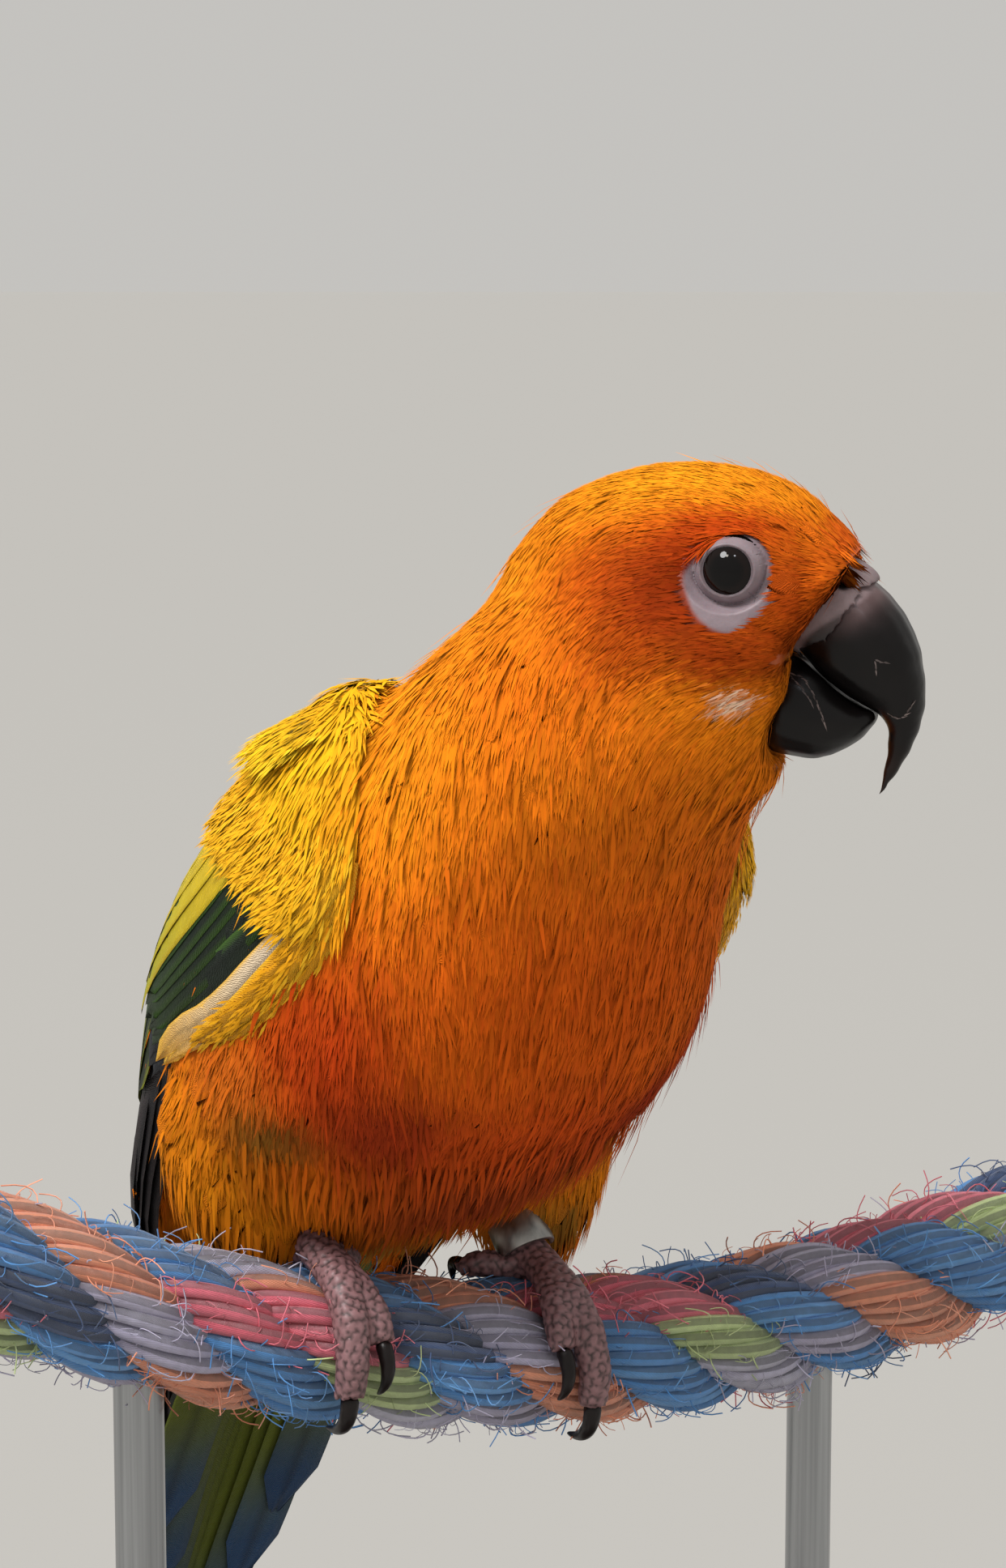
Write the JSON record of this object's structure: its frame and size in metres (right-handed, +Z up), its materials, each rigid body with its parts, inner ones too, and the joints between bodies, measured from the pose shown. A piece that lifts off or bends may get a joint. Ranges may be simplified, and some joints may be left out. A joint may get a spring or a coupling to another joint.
{
  "type": "perched parrot figure",
  "caption": "Life-size still figure of a sun conure gripping a short bowed length of coloured cotton rope on a flat-based display stand.",
  "frame": {"origin": "centre of the underside of the stand's base", "axes": "+Z up; the bird's body faces -Y and its left side is +X; the rope perch runs along X"},
  "size_m": [0.167, 0.1527, 0.2238],
  "materials": {
    "feathers_orange": "soft overlapping body feathers, orange to yellow",
    "feathers_yellow": "smooth wing coverts, yellow with dark green and blue-black flight feathers",
    "feathers_olive": "long olive tail feathers with blue tips",
    "eye": "wet dark brown",
    "bill": "black horn with worn pale flakes",
    "bare_skin": "bare pale grey skin",
    "foot_skin": "scaly mauve grey skin",
    "claw": "black horn",
    "band_metal": "dull grey metal, unmarked",
    "rope_cotton": "laid cotton yarns in bands of blue, orange, red, green and grey, frayed",
    "base_lacquer": "dark satin lacquered hardwood",
    "rod_steel": "brushed steel rod"
  },
  "bodies": {
    "root": {"head": "feathers_orange", "neck": "feathers_orange", "trunk": "feathers_orange", "tail": "feathers_olive", "wing_right": "feathers_yellow", "wing_left": "feathers_yellow", "thigh_right": "feathers_orange", "thigh_left": "feathers_orange", "eye_right": "eye", "eye_left": "eye", "bill_upper": "bill", "bill_lower": "bill", "cere": "bare_skin", "foot_right": "foot_skin", "foot_left": "foot_skin", "leg_band": "band_metal", "perch_rope": "rope_cotton", "stand_base": "base_lacquer", "stand_rod_right": "rod_steel", "stand_rod_left": "rod_steel", "claw_outer_front_right": "claw", "claw_inner_front_right": "claw", "claw_outer_back_right": "claw", "claw_inner_back_right": "claw", "claw_outer_front_left": "claw", "claw_inner_front_left": "claw", "claw_outer_back_left": "claw", "claw_inner_back_left": "claw"}
  },
  "joints": []
}
